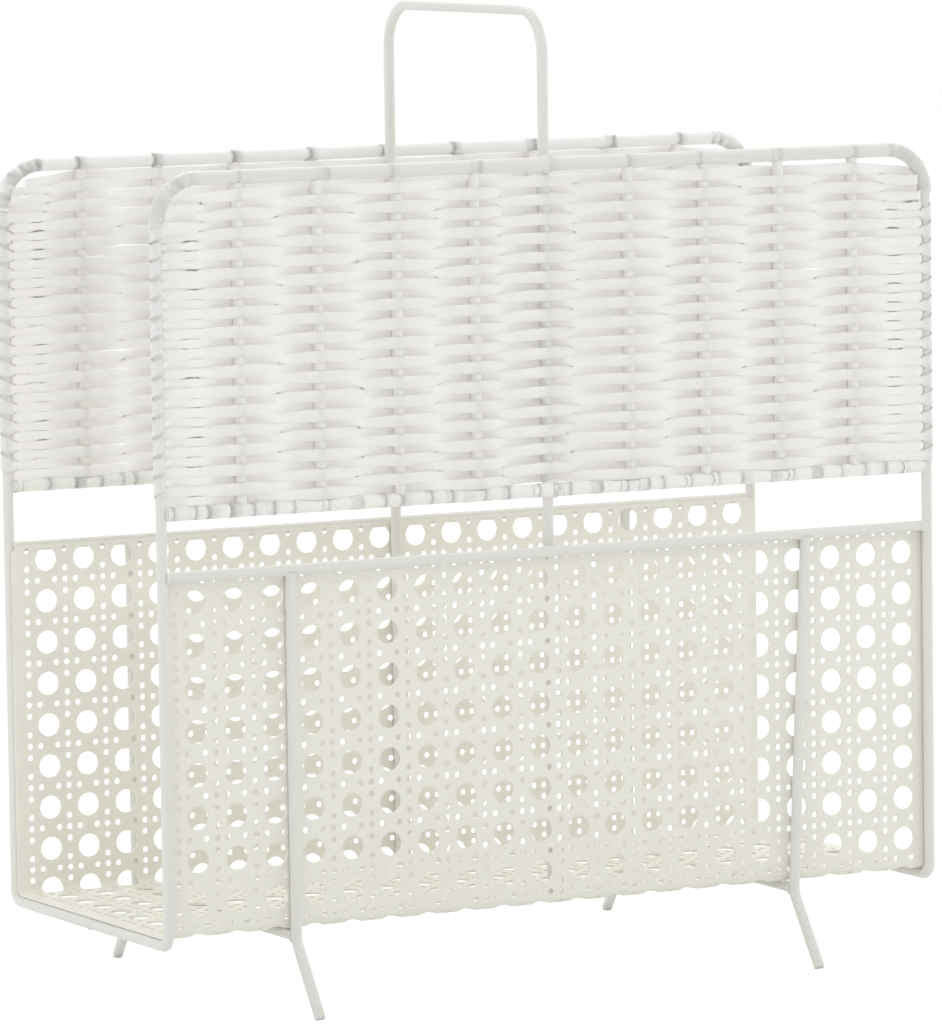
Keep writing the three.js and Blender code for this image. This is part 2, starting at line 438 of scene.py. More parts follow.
@dataclass(frozen=True)
class WeavingTape:
    """Flat weaving tape of milky plastic: fine ribs run along it and light shines through a little."""

    name: str
    colour: str
    shade: str
    relief: Relief = Relief.GRAIN
    width: float = 5.4 * MM
    rib: float = 0.55 * MM
    rib_height: float = 0.05 * MM
    grain: float = 0.9 * MM
    drift: float = 22 * MM
    roughness: float = 0.5
    glow: float = 1.0
    glow_depth: float = 0.65 * MM

    def material(self) -> Material:
        """Build the material.

        Returns:
            The material.
        """
        material, tree = new_material(self.name)
        coordinates = add_node(tree, "ShaderNodeTexCoord", {})
        place = coordinates.outputs["Object"]
        clouds = {"Scale": 1 / self.drift, "Detail": 4.0, "Roughness": 0.6}
        # The ribs follow the tape: its own map runs once round the flat section, so it passes
        # both faces. Wound tape has ribs so short that grain in all directions serves.
        if self.relief is Relief.RIBS:
            ribs = {"Vector": coordinates.outputs["UV"], "Scale": self.width / self.rib / math.pi}
            pattern = add_node(tree, "ShaderNodeTexWave", ribs, bands_direction="Y")
        else:
            grain = {"Vector": place, "Scale": 1 / self.grain, "Detail": 2.0}
            pattern = add_node(tree, "ShaderNodeTexNoise", grain)
        height = {"Height": pattern.outputs["Fac"], "Distance": self.rib_height, "Strength": 0.5}
        plastic = {
            "Base Color": drifting_tone(tree, place, (self.colour, self.shade), clouds),
            "Roughness": self.roughness,
            "IOR": 1.49,
            "Subsurface Weight": self.glow,
            "Subsurface Radius": (1.0, 1.0, 1.0),
            "Subsurface Scale": self.glow_depth,
            "Normal": add_node(tree, "ShaderNodeBump", height).outputs["Normal"],
        }
        shader = add_node(tree, "ShaderNodeBsdfPrincipled", plastic)
        add_node(tree, "ShaderNodeOutputMaterial", {"Surface": shader.outputs["BSDF"]})
        return material


# Wire


@dataclass(frozen=True)
class Corner:
    """A point that a wire runs to, and the radius that it is bent by there."""

    at: Vector
    radius: float = 0.0


@dataclass(frozen=True)
class WireBench:
    """Bends round wire by hand: a ring is drawn out straight and spun round each bend."""

    radius: float
    sides: int = 20
    bend_step: float = math.radians(9)
    cut_bevel: float = 0.35 * MM
    weld_reach: float = 1.7 * MM
    weld_spread: float = 1.25 * MM
    weld_start: float = 0.98
    weld_sink: float = 0.5
    weld_bevel: float = 0.1 * MM
    weld_steps: int = 4

    def ring(self, at: Vector, along: Vector, radius: float) -> Piece:
        """Add an open ring square to a direction.

        Args:
            at: Its centre.
            along: The direction that it faces.
            radius: Its radius.

        Returns:
            The object with the ring.
        """
        deselect()
        facing = along.to_track_quat("Z", "Y").to_euler()
        bpy.ops.mesh.primitive_circle_add(
            vertices=self.sides, radius=radius, fill_type="NOTHING", location=at, rotation=facing
        )
        return take_new()

    def bend(self, corners: Sequence[Corner]) -> Piece:
        """Make one wire through the given corners, with both ends cut square.

        Args:
            corners: The wire's ends, and the points between where it bends.

        Returns:
            The closed wire.
        """
        start = corners[0].at
        wire = self.ring(start, corners[1].at - start, self.radius)
        with editing(wire, whole=True):
            here = start
            for before, corner, after in zip(corners, corners[1:], corners[2:]):
                into = (corner.at - before.at).normalized()
                out = (after.at - corner.at).normalized()
                angle = into.angle(out)
                tangent = corner.radius * math.tan(angle / 2)
                bend_start = corner.at - into * tangent
                pull(bend_start - here)
                inward = (out - into * into.dot(out)).normalized()
                bpy.ops.mesh.spin(
                    steps=max(2, round(angle / self.bend_step)),
                    angle=-angle,
                    center=bend_start + inward * corner.radius,
                    axis=into.cross(out).normalized(),
                )
                here = corner.at + out * tangent
            pull(corners[-1].at - here)
        self.close(wire, self.cut_bevel)
        return wire

    def bar(self, start: Vector, end: Vector) -> list[Piece]:
        """Make a straight wire between the sides of two other wires, with a weld at each end.

        Args:
            start: The centre of the wire that it starts at.
            end: The centre of the wire that it ends at.

        Returns:
            The wire and both welds.
        """
        along = (end - start).normalized()
        inset = along * self.radius
        wire = self.bend([Corner(start + inset), Corner(end - inset)])
        return [wire, self.weld(start, -along), self.weld(end, along)]

    def close(self, wire: Piece, bevel: float) -> None:
        """Close a tube's open ends and soften the edges of both cuts.

        Args:
            wire: The open tube.
            bevel: The width of the softened edge.
        """
        with editing(wire, whole=True):
            bpy.ops.mesh.fill_holes(sides=0)
            bpy.ops.mesh.select_mode(type="FACE")
            bpy.ops.mesh.select_all(action="DESELECT")
            bpy.ops.mesh.select_face_by_sides(number=4, type="GREATER")
            bpy.ops.mesh.region_to_loop()
            bpy.ops.mesh.bevel(offset=bevel, segments=2, affect="EDGES")
            bpy.ops.mesh.select_all(action="SELECT")
            bpy.ops.mesh.normals_make_consistent(inside=False)
        smooth(wire)

    def weld(self, at: Vector, towards: Vector) -> Piece:
        """Make the flared weld where a wire's end meets the side of another wire.

        Args:
            at: The centre of the wire that it meets.
            towards: The direction in which the ending wire runs to it.

        Returns:
            The flared collar.
        """
        along = towards.normalized()
        start = at - along * (self.radius + self.weld_reach)
        length = self.weld_reach + self.radius * self.weld_sink
        collar = self.ring(start, along, self.radius * self.weld_start)
        with editing(collar, whole=True):
            width = self.radius
            for step in range(1, self.weld_steps + 1):
                share = step / self.weld_steps
                wider = self.radius + self.weld_spread * share**2
                pull(along * length / self.weld_steps)
                bpy.ops.transform.resize(
                    value=(wider / width,) * 3, center_override=tuple(start + along * length * share)
                )
                width = wider
        self.close(collar, self.weld_bevel)
        return collar


# Frames of wire


@dataclass
class HoopFrame:
    """One of the two hoops, with its rails and stakes."""

    side: Side
    sizes: BasketSizes
    bench: WireBench
    wire_finish: Material
    # The stakes' finish is a lighter, translucent tape material, not the wire's coat: painted light that
    # lifts their shade between the strands
    stake_lift_finish: Material

    def build(self) -> None:
        """Build the frame."""
        self.hoop()
        self.rail("weave_rail", self.sizes.weave_rail_height)
        self.rail("pocket_rail", self.sizes.pocket_rail_height)
        for number, x in enumerate(self.sizes.stakes, start=1):
            self.stake(number, x)

    def hoop(self) -> None:
        """Bend the hoop, whose two ends butt against the other hoop's at mid depth."""
        s = self.sizes
        y = s.depth(self.side)
        middle = self.side.value * s.fit_gap / 2
        corners = [
            Corner(Vector((-s.half_width, middle, s.base_height))),
            Corner(Vector((-s.half_width, y, s.base_height)), s.base_corner),
            Corner(Vector((-s.half_width, y, s.rim_height)), s.rim_corner),
            Corner(Vector((s.half_width, y, s.rim_height)), s.rim_corner),
            Corner(Vector((s.half_width, y, s.base_height)), s.base_corner),
            Corner(Vector((s.half_width, middle, s.base_height))),
        ]
        node = f"{self.side.word}_hoop"
        dress(f"{node}_wire", [self.bench.bend(corners)], self.wire_finish, [node])

    def rail(self, word: str, height: float) -> None:
        """Make a straight rail between the uprights.

        Args:
            word: The rail's name.
            height: The height of its centre.
        """
        s = self.sizes
        y = s.depth(self.side)
        parts = self.bench.bar(Vector((-s.half_width, y, height)), Vector((s.half_width, y, height)))
        node = f"{self.side.word}_{word}"
        dress(f"{node}_wire", parts, self.wire_finish, [node])

    def stake(self, number: int, x: float) -> None:
        """Make one stake between the rim and the weave's lower rail.

        Args:
            number: The stake's number from the left.
            x: Its place along the basket's width.
        """
        s = self.sizes
        y = s.depth(self.side)
        low = Corner(Vector((x, y, s.weave_rail_height + s.wire_radius)))
        high = Corner(Vector((x, y, s.rim_height - s.wire_radius)))
        node = f"{self.side.word}_stake_{number}"
        dress(f"{node}_wire", [self.bench.bend([low, high])], self.stake_lift_finish, [node])


@dataclass
class ButtWelds:
    """The beads of weld over the two joints between the hoops."""

    sizes: BasketSizes
    wire_finish: Material
    bead_radius: float = 0.75 * MM
    bead_sink: float = 0.35 * MM

    def build(self) -> None:
        """Lay both beads."""
        s = self.sizes
        beads = []
        for hand in Hand:
            deselect()
            bpy.ops.mesh.primitive_torus_add(
                major_segments=20,
                minor_segments=8,
                major_radius=s.wire_radius - self.bead_sink,
                minor_radius=self.bead_radius,
                location=(hand.value * s.half_width, 0, s.base_height),
                rotation=(math.pi / 2, 0, 0),
            )
            bead = take_new()
            smooth(bead, degrees=80)
            beads.append(bead)
        dress("butt_weld_beads", beads, self.wire_finish)


@dataclass
class CarryHandle:
    """The tall handle whose legs run down inside both panels to the pocket's floor."""

    sizes: BasketSizes
    bench: WireBench
    wire_finish: Material
    corner: float = 20 * MM

    def build(self) -> None:
        """Bend the handle."""
        s = self.sizes
        y = s.handle_half_depth
        corners = [
            Corner(Vector((0, -y, s.handle_foot))),
            Corner(Vector((0, -y, s.handle_height)), self.corner),
            Corner(Vector((0, y, s.handle_height)), self.corner),
            Corner(Vector((0, y, s.handle_foot))),
        ]
        wire = self.bench.bend(corners)
        dress("carry_handle_wire", [wire], self.wire_finish, ["carry_handle"])


@dataclass
class Underframe:
    """The four splayed legs and the two cross bars under the pocket."""

    sizes: BasketSizes
    bench: WireBench
    wire_finish: Material
    leg_bend: float = 10 * MM
    bend_drop: float = 2 * MM
    splay: float = 23 * MM
    sole: float = 0.8 * MM

    def build(self) -> None:
        """Make the legs and the cross bars."""
        for side in Side:
            for hand in Hand:
                self.leg(side, hand)
        for hand in Hand:
            self.cross_bar(hand)

    def ends(self, node: str, hand: Hand) -> tuple[float, float]:
        """Measure how far a wire that leans to the side goes.

        Args:
            node: The frame's node.
            hand: Left or right.

        Returns:
            The places along X of its outer end's and its inner end's centre.
        """
        low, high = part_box(node)
        left = low.x + self.sizes.wire_radius
        right = high.x - self.sizes.wire_radius
        return (left, right) if hand is Hand.LEFT else (right, left)

    def leg(self, side: Side, hand: Hand) -> None:
        """Bend one leg from under the pocket rail out to its foot, and cut it level.

        Args:
            side: Front or rear.
            hand: Left or right.
        """
        s = self.sizes
        node = f"{side.word}_{hand.word}_leg"
        top_x, low_x = self.ends(node, hand)
        y = s.depth(side)
        bend_height = s.base_height - self.bend_drop
        slope = math.atan2(self.splay, bend_height)
        top = Vector((top_x, y, s.pocket_rail_height))
        knee = Vector((low_x, y, bend_height))
        sole_height = s.wire_radius * math.sin(slope) - self.sole
        foot = Vector((low_x, y + side.value * self.splay, sole_height))
        down = (knee - top).normalized()
        start = Corner(top + down * s.wire_radius)
        wire = self.bench.bend([start, Corner(knee, self.leg_bend), Corner(foot)])
        with editing(wire, whole=True):
            bpy.ops.mesh.bisect(plane_co=(0, 0, 0), plane_no=UP, clear_inner=True, use_fill=True)
        parts = [wire, self.bench.weld(top, -down)]
        dress(f"{node}_wire", parts, self.wire_finish, [node])

    def cross_bar(self, hand: Hand) -> None:
        """Make one cross bar from the front leg to the rear one.

        Args:
            hand: Left or right.
        """
        s = self.sizes
        node = f"{hand.word}_cross_bar"
        rear_x, front_x = self.ends(node, hand)
        front = Vector((front_x, s.depth(Side.FRONT), s.base_height))
        rear = Vector((rear_x, s.depth(Side.REAR), s.base_height))
        parts = self.bench.bar(front, rear)
        dress(f"{node}_wire", parts, self.wire_finish, [node])


# The pocket


@dataclass
class PerforatedPocket:
    """One sheet, punched in the pattern of woven cane and folded up at the front and the rear."""

    sizes: BasketSizes
    sheet_finish: Material
    sheet: Piece = field(init=False)
    pitch: float = 19.5 * MM
    hole: float = 11 * MM
    hole_sides: int = 16
    small_hole: float = 3 * MM
    small_hole_sides: int = 8
    arm: float = 5.35 * MM
    columns: int = 20
    column_shift: float = 2.25 * MM
    front_rows: int = 8
    floor_rows: int = 9
    rear_rows: int = 8
    front_row_drop: float = 12.2 * MM
    rear_row_drop: float = 6.5 * MM
    floor_row_inset: float = 1.9 * MM
    floor_row_shift: float = 5.4 * MM
    corner: float = 5 * MM
    corner_cuts: int = 4
    fold_creases: int = 6
    quiet_band: float = 6 * MM
    joint_tolerance: float = 0.02 * MM
    end_tolerance: float = 0.01 * MM
    crease_tolerance: float = 0.001 * MM

    def build(self) -> None:
        """Punch, trim, fold and thicken the sheet."""
        wall_low, wall_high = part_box("pocket_front_wall")
        floor_low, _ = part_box("pocket_floor")
        thickness = wall_high.y - wall_low.y
        plane = -(wall_low.y + wall_high.y) / 2
        level = floor_low.z + thickness / 2
        fold_radius = wall_low.z - level
        fold_y = plane - fold_radius
        fold_length = fold_radius * math.pi / 2

        # Places along the flat sheet, where the floor lies as it does in the basket
        wall_top = fold_y + fold_length + self.sizes.pocket_rail_height - wall_low.z
        front_first = self.front_row_drop - wall_top
        self.punch_cells(level, front_first)
        self.add_margins(wall_high.x)
        self.space_rows(front_first, wall_top - self.rear_row_drop, fold_y)
        self.round_corners(wall_high.x)
        self.fold(fold_y, fold_length, level)
        apply_modifier(self.sheet, "SOLIDIFY", thickness=thickness, offset=0.0)
        smooth(self.sheet, degrees=50)
        nodes = ["pocket_front_wall", "pocket_floor", "pocket_rear_wall"]
        dress("perforated_pocket", [self.sheet], self.sheet_finish, nodes)

    def punch_cells(self, level: float, first_row: float) -> None:
        """Punch one cell with its large hole and its cross of small ones, and repeat it.

        The cell's edges pass between the small holes of the cross, so that every hole is whole.

        Args:
            level: The height of the flat sheet.
            first_row: The place of the first row of large holes along the sheet.
        """
        first_x = (0.5 - self.columns / 2) * self.pitch + self.column_shift
        centre = Vector((first_x, first_row, level))
        cell_centre = centre - Vector((1, 1, 0)) * (self.arm / 2)
        deselect()
        bpy.ops.mesh.primitive_plane_add(size=self.pitch, location=cell_centre)
        self.sheet = take_new()
        cross = -self.pitch / 2
        small_holes = [(cross, cross)]
        for reach in (cross + self.arm, -cross - self.arm):
            small_holes += [(cross, reach), (reach, cross)]
        with editing(self.sheet, whole=True):
            bpy.ops.mesh.delete(type="ONLY_FACE")
            self.punch(centre, self.hole, self.hole_sides)
            for x, y in small_holes:
                self.punch(centre + Vector((x, y, 0)), self.small_hole, self.small_hole_sides)
            bpy.ops.mesh.select_all(action="SELECT")
            bpy.ops.mesh.fill()
        rows = self.front_rows + self.floor_rows + self.rear_rows
        for count, way in ((self.columns, (self.pitch, 0, 0)), (rows, (0, self.pitch, 0))):
            offset = {"use_constant_offset": True, "constant_offset_displace": way}
            joint = {"use_merge_vertices": True, "merge_threshold": self.joint_tolerance}
            apply_modifier(
                self.sheet, "ARRAY", count=count, use_relative_offset=False, **offset, **joint
            )

    def punch(self, centre: Vector, width: float, sides: int) -> None:
        """Draw the ring of one hole into the open cell."""
        bpy.ops.mesh.primitive_circle_add(
            vertices=sides, radius=width / 2, fill_type="NOTHING", location=centre
        )

    def add_margins(self, half_length: float) -> None:
        """Draw the sheet's two ends out to its full length.

        Args:
            half_length: Half of the full length.
        """
        for sign in (-1, 1):
            reach = max(vertex.co.x * sign for vertex in self.sheet.data.vertices)
            with editing(self.sheet):
                select_points(self.sheet, lambda co: co.x * sign > reach - self.end_tolerance)
                bpy.ops.mesh.select_mode(type="EDGE")
                pull(RIGHT * sign * (half_length - reach))

    def space_rows(self, front_first: float, rear_last: float, fold_y: float) -> None:
        """Bring the floor's rows and the rear wall's rows to their places along the flat sheet.

        Args:
            front_first: The place of the front wall's upper row.
            rear_last: The place that the rear wall's upper row comes to.
            fold_y: Where the folds start on the floor, from the middle.
        """
        front_last = front_first + (self.front_rows - 1) * self.pitch
        floor_first = front_last + self.pitch
        floor_last = floor_first + (self.floor_rows - 1) * self.pitch
        rear_first = floor_last + self.pitch
        new_floor_first = self.floor_row_inset - fold_y
        new_floor_last = self.floor_row_shift - new_floor_first
        new_rear_first = rear_last - (self.rear_rows - 1) * self.pitch
        quiet = self.quiet_band
        # From the far end, so that each zone is still where it was punched
        zones = (
            (floor_last + quiet, rear_first - quiet, new_rear_first - new_floor_last - 2 * quiet),
            (floor_first, floor_last, new_floor_last - new_floor_first),
            (front_last + quiet, floor_first - quiet, new_floor_first - front_last - 2 * quiet),
        )
        for low, high, length in zones:
            self.press(low, high, length)

    def press(self, low: float, high: float, length: float) -> None:
        """Bring a zone of the flat sheet to a length, and let the rest behind it follow.

        Args:
            low: Where the zone starts.
            high: Where it ends now.
            length: How long it becomes.
        """
        stretch = (1, length / (high - low), 1)
        with editing(self.sheet):
            select_points(self.sheet, lambda co: low < co.y <= high)
            bpy.ops.transform.resize(value=stretch, center_override=(0, low, 0))
            select_points(self.sheet, lambda co: co.y > high)
            bpy.ops.transform.translate(value=(0, length - (high - low), 0))

    def round_corners(self, half_length: float) -> None:
        """Trim the four corners of the flat sheet round.

        Args:
            half_length: Half of its length.
        """
        ends = [vertex.co.y for vertex in self.sheet.data.vertices]
        near = 2 * self.pitch
        for end_y, sign_y in ((min(ends), -1), (max(ends), 1)):
            for sign_x in (-1, 1):
                x = sign_x * (half_length - self.corner)
                y = end_y - sign_y * self.corner
                for cut in range(self.corner_cuts):
                    angle = (cut + 0.5) / self.corner_cuts * math.pi / 2
                    way = Vector((sign_x * math.cos(angle), sign_y * math.sin(angle), 0))
                    edge = Vector((x, y, 0)) + way * self.corner
                    with editing(self.sheet):
                        select_points(
                            self.sheet,
                            lambda co: (co.x - x) * sign_x > -near and (co.y - y) * sign_y > -near,
                        )
                        bpy.ops.mesh.bisect(plane_co=edge, plane_no=way, clear_outer=True)

    def fold(self, fold_y: float, fold_length: float, level: float) -> None:
        """Fold both walls up, one fine crease after another from the far side of each fold.

        Args:
            fold_y: Where the folds start on the floor, from the middle.
            fold_length: The length of a fold along the sheet.
            level: The height of the floor.
        """
        step = math.pi / 2 / self.fold_creases
        for sign in (-1, 1):
            for crease in reversed(range(self.fold_creases)):
                y = sign * (fold_y + fold_length * (crease + 0.5) / self.fold_creases)
                centre = Vector((0, y, level))
                with editing(self.sheet):
                    select_points(self.sheet, lambda co: abs(co.y - y) < 2 * self.pitch)
                    bpy.ops.mesh.bisect(plane_co=centre, plane_no=(0, 1, 0))
                    select_points(self.sheet, lambda co: (co.y - y) * sign > self.crease_tolerance)
                    turn(sign * step, "X", centre)


# Woven panels


@dataclass
class WovenPanel:
    """One long tape, woven in rows before and behind the stakes and round the uprights.

    The shares are of the tape's full width: it is gathered between the stakes and spreads where it
    turns round an upright.
    """

    side: Side
    sizes: BasketSizes
    tape_finish: Material
    rows: int = 32
    tape_width: float = 5.5 * MM
    gathered_share: float = 0.84
    end_share: float = 0.9
    leave_share: float = 0.95
    turned_share: float = 1.15
    corner_share: float = 0.86
    width_scatter: float = 0.04
    leave: float = 3.5 * MM
    leave_inset: float = 0.8
    tape_thickness: float = 0.45 * MM
    slack: float = 0.1 * MM
    lower_clearance: float = 3.0 * MM
    rim_clearance: float = 5.4 * MM
    rear_rim_clearance: float = 3.9 * MM
    unevenness: float = 0.22 * MM
    held_unevenness: float = 0.154 * MM
    gather_scatter: float = 1.5 * MM
    crowded_rows: int = 9
    corner_drop: float = 4 * MM
    turn_points: int = 4
    steps: int = 4
    seed: int = 11

    @property
    def offset(self) -> float:
        """How far the tape's centre lies from a stake's centre."""
        return self.sizes.wire_radius + self.tape_thickness / 2 + self.slack

    def turn_x(self, height: float) -> float:
        """Where a row turns back: at the upright, or inside the rim's round corner.

        Args:
            height: The row's upper edge.

        Returns:
            The distance from the basket's middle.
        """
        s = self.sizes
        corner_base = s.rim_height - s.rim_corner
        if height <= corner_base:
            return s.half_width
        clear = s.rim_corner - s.wire_radius - self.slack
        rise = min(height - corner_base, clear)
        reach = math.sqrt(clear * clear - rise * rise)
        return s.half_width - s.rim_corner + reach - self.offset

    def row_height(self, row: float, x: float) -> float:
        """The height of a row: level, but the top rows crowd down towards the round corners.

        Args:
            row: The row's number from below.
            x: A place along it.

        Returns:
            The height of its centre.
        """
        s = self.sizes
        bottom = s.weave_rail_height + self.lower_clearance
        clearance = self.rim_clearance if self.side is Side.FRONT else self.rear_rim_clearance
        top = s.rim_height - clearance
        level = bottom + (top - bottom) / self.rows * (row + 0.5)
        crowded = max(0.0, (row + 1 - self.rows) / self.crowded_rows + 1) ** 2
        spacing = s.stakes[1] - s.stakes[0]
        outer = min(max((abs(x) - s.half_width) / spacing + 1, 0.0), 1.0)
        return level - self.corner_drop * crowded * outer

    def points(self) -> list[tuple[Vector, float]]:
        """The tape's way through the panel.

        Returns:
            Each point with the tape's width there, as a share of its full width.
        """
        s = self.sizes
        luck = random.Random(self.seed + self.side.value)
        verticals = list(enumerate(sorted([*s.stakes, 0.0]), start=1))
        way = []

        def lay(x: float, row: float, inward: float, width: float, lift: float = 0.0) -> None:
            """Add a point at a place along the row, so far inside the frame's plane."""
            place = Vector((x, s.depth(self.side, inward), self.row_height(row, x) + lift))
            way.append((place, width * luck.uniform(1 - self.width_scatter, 1 + self.width_scatter)))

        for row in range(self.rows):
            heading = 1 if row % 2 == 0 else -1
            before = -heading * self.offset
            edge = self.turn_x(self.row_height(row, s.half_width) + self.tape_width / 2)
            end = heading * edge
            leave = heading * (edge - self.leave)
            round_upright = edge == s.half_width
            turned = self.turned_share if round_upright else self.corner_share
            if row == 0:
                lay(-end, row, before, turned)
            if round_upright:
                lay(-leave, row, -before * self.leave_inset, self.leave_share)
            last = -end
            for number, x in verticals[::heading]:
                outward = 1 if (number + row) % 2 == 0 else -1
                centre = s.half_depth - s.handle_half_depth if x == 0.0 else 0.0
                middle = (last + x) / 2 + luck.gauss(0, self.gather_scatter)
                lay(middle, row, centre / 2, self.gathered_share, luck.gauss(0, self.unevenness))
                lift = luck.gauss(0, self.held_unevenness)
                lay(x, row, centre - outward * self.offset, 1.0, lift)
                last = x
            lay((last + end) / 2, row, 0.0, self.end_share)
            if round_upright:
                lay(leave, row, before * self.leave_inset, self.leave_share)
            if row == self.rows - 1:
                lay(end, row, before, turned)
                break
            for step in range(self.turn_points + 1):
                share = step / self.turn_points
                angle = math.pi * (0.5 - share)
                x = end + heading * self.offset * math.cos(angle)
                lay(x, row + share, before * math.sin(angle), turned)
        return way

    def build(self) -> None:
        """Weave the panel: a flat ribbon laid along the tape's way as a smooth curve."""
        deselect()
        bpy.ops.curve.primitive_bezier_circle_add(radius=0.5, location=(0, 0, 0))
        section = bpy.context.object
        section.scale = (self.tape_thickness, self.tape_width, 1)
        bpy.ops.object.transform_apply(location=False, rotation=False, scale=True)
        section.data.resolution_u = 3

        deselect()
        bpy.ops.curve.primitive_bezier_curve_add(location=(0, 0, 0))
        tape = bpy.context.object
        way = self.points()
        bpy.ops.object.mode_set(mode="EDIT")
        bpy.ops.curve.select_all(action="SELECT")
        bpy.ops.curve.delete(type="VERT")
        for place, _ in way:
            bpy.ops.curve.vertex_add(location=place)
        bpy.ops.curve.select_all(action="SELECT")
        bpy.ops.curve.handle_type_set(type="AUTOMATIC")
        bpy.ops.object.mode_set(mode="OBJECT")
        curve = tape.data
        curve.dimensions = "3D"
        curve.twist_mode = "Z_UP"
        curve.resolution_u = self.steps
        curve.bevel_mode = "OBJECT"
        curve.bevel_object = section
        curve.use_fill_caps = True
        for bezier, (_, width) in zip(curve.splines[0].bezier_points, way):
            bezier.radius = width
        pick([tape])
        bpy.ops.object.convert(target="MESH")
        tape = take_new()
        bpy.data.objects.remove(section)
        merge_and_face_out(tape)
        smooth(tape, degrees=75)
        node = f"{self.side.word}_woven_tape"
        dress(f"{node}_strand", [tape], self.tape_finish, [node])


@dataclass
class RailBindings:
    """Tape that covers one side's rim and the weave's lower rail."""

    side: Side
    sizes: BasketSizes
    bench: WireBench
    rim_finish: Material
    lower_finish: Material
    cover_radius: float = 3.2 * MM
    cover_overrun: float = 1 * MM
    cover_bevel: float = 0.2 * MM
    turn_width: float = 6.2 * MM
    turn_low: float = 3.22 * MM
    turn_high: float = 3.33 * MM
    turn_thickness: float = 0.3 * MM
    tilt: float = math.radians(9)
    step_low: float = 8 * MM
    step_high: float = 17 * MM
    stake_scatter: float = 3 * MM
    corner_turns: int = 8
    corner_scatter: float = 0.2
    corner_share: float = 0.62
    tighter: float = 0.02
    looser: float = 0.05
    mean_lean: float = 0.5
    lash_slant: float = math.radians(30)
    lash_width: float = 4.4 * MM
    lash_reach: float = 4.3 * MM
    lash_clearance: float = 0.2 * MM
    lash_overlap: float = 0.1 * MM
    lash_bevel: float = 1.2 * MM
    rim_seed: int = 15
    step_seed: int = 5
    lower_seed: int = 35

    def build(self) -> None:
        """Bind the rim and the lower rail."""
        pattern = self.turn_pattern()
        self.rim(pattern)
        self.lower(pattern)
        bpy.data.objects.remove(pattern)

    def turn_pattern(self) -> Piece:
        """Make one turn of tape round a rail along X, a little wider at its right edge.

        Returns:
            The closed band, at the origin.
        """
        half = RIGHT * self.turn_width / 2
        band = self.bench.ring(-half, RIGHT, self.turn_low)
        grow = self.turn_high / self.turn_low
        with editing(band, whole=True):
            pull(half * 2)
            bpy.ops.transform.resize(value=(1, grow, grow), center_override=(0, 0, 0))
        merge_and_face_out(band)
        apply_modifier(band, "SOLIDIFY", thickness=self.turn_thickness, offset=-1.0)
        smooth(band, degrees=50)
        return band

    def cover(self, corners: Sequence[Corner]) -> Piece:
        """Make the smooth length of tape under the turns, on a wire with these ends and bends."""
        bench = WireBench(self.cover_radius, self.bench.sides, cut_bevel=self.cover_bevel)
        return bench.bend(corners)

    def rim(self, pattern: Piece) -> None:
        """Cover the rim with a smooth length of tape, with turns at the corners and the stakes.

        Args:
            pattern: One turn.
        """
        s = self.sizes
        y = s.depth(self.side)
        top = s.rim_height
        low = top - s.rim_corner - self.cover_overrun
        corners = [
            Corner(Vector((-s.half_width, y, low))),
            Corner(Vector((-s.half_width, y, top)), s.rim_corner),
            Corner(Vector((s.half_width, y, top)), s.rim_corner),
            Corner(Vector((s.half_width, y, low))),
        ]
        luck = random.Random(self.rim_seed + self.side.value)
        bands = [self.cover(corners)]
        for x in sorted([*s.stakes, 0.0]):
            lean = Euler((0, 0, luck.uniform(-1, 1) * self.tilt)).to_matrix().to_4x4()
            scatter = luck.uniform(-self.stake_scatter, self.stake_scatter)
            bands.append(copy_to(pattern, Matrix.Translation((x + scatter, y, top)) @ lean))
        steps = self.corner_turns
        for hand in Hand:
            centre = Vector((hand.value * (s.half_width - s.rim_corner), y, top - s.rim_corner))
            for step in range(steps):
                place_in_step = luck.uniform(0.5 - self.corner_scatter, 0.5 + self.corner_scatter)
                angle = (step + place_in_step) / steps * math.pi / 2
                outward = Vector((hand.value * math.sin(angle), 0, math.cos(angle)))
                lean = luck.uniform(-1, 1) * self.tilt
                around = Euler((0, hand.value * angle + lean, 0)).to_matrix().to_4x4()
                size = 1 + luck.uniform(-self.tighter, self.looser)
                share = Matrix.Diagonal((self.corner_share, size, size, 1))
                place = Matrix.Translation(centre + outward * s.rim_corner)
                bands.append(copy_to(pattern, place @ around @ share))
        if self.side is Side.FRONT:
            bands += self.lashing(top)
        node = f"{self.side.word}_rim_binding"
        dress(f"{node}_tape", bands, self.rim_finish, [node])

    def lashing(self, height: float) -> list[Piece]:
        """Lash a rail to the handle's leg behind it, with two close turns crossed on the slant.

        Args:
            height: The rail's height.

        Returns:
            The turns.
        """
        s = self.sizes
        outer = s.half_depth + self.turn_high + self.lash_clearance
        inner = s.handle_half_depth - s.wire_radius
        depth = self.side.value * (outer + inner) / 2
        turns = []
        for number, sign in enumerate((-1, 1)):
            deselect()
            bpy.ops.mesh.primitive_cylinder_add(
                vertices=self.bench.sides,
                radius=1.0,
                depth=self.lash_width,
                location=(0, depth, height),
                rotation=(0, math.pi / 2 + sign * self.lash_slant, 0),
                scale=(self.lash_reach, (outer - inner) / 2 + self.lash_overlap * number, 1),
            )
            band = take_new()
            apply_modifier(band, "BEVEL", width=self.lash_bevel, segments=3, limit_method="ANGLE")
            smooth(band, degrees=50)
            turns.append(band)
        return turns

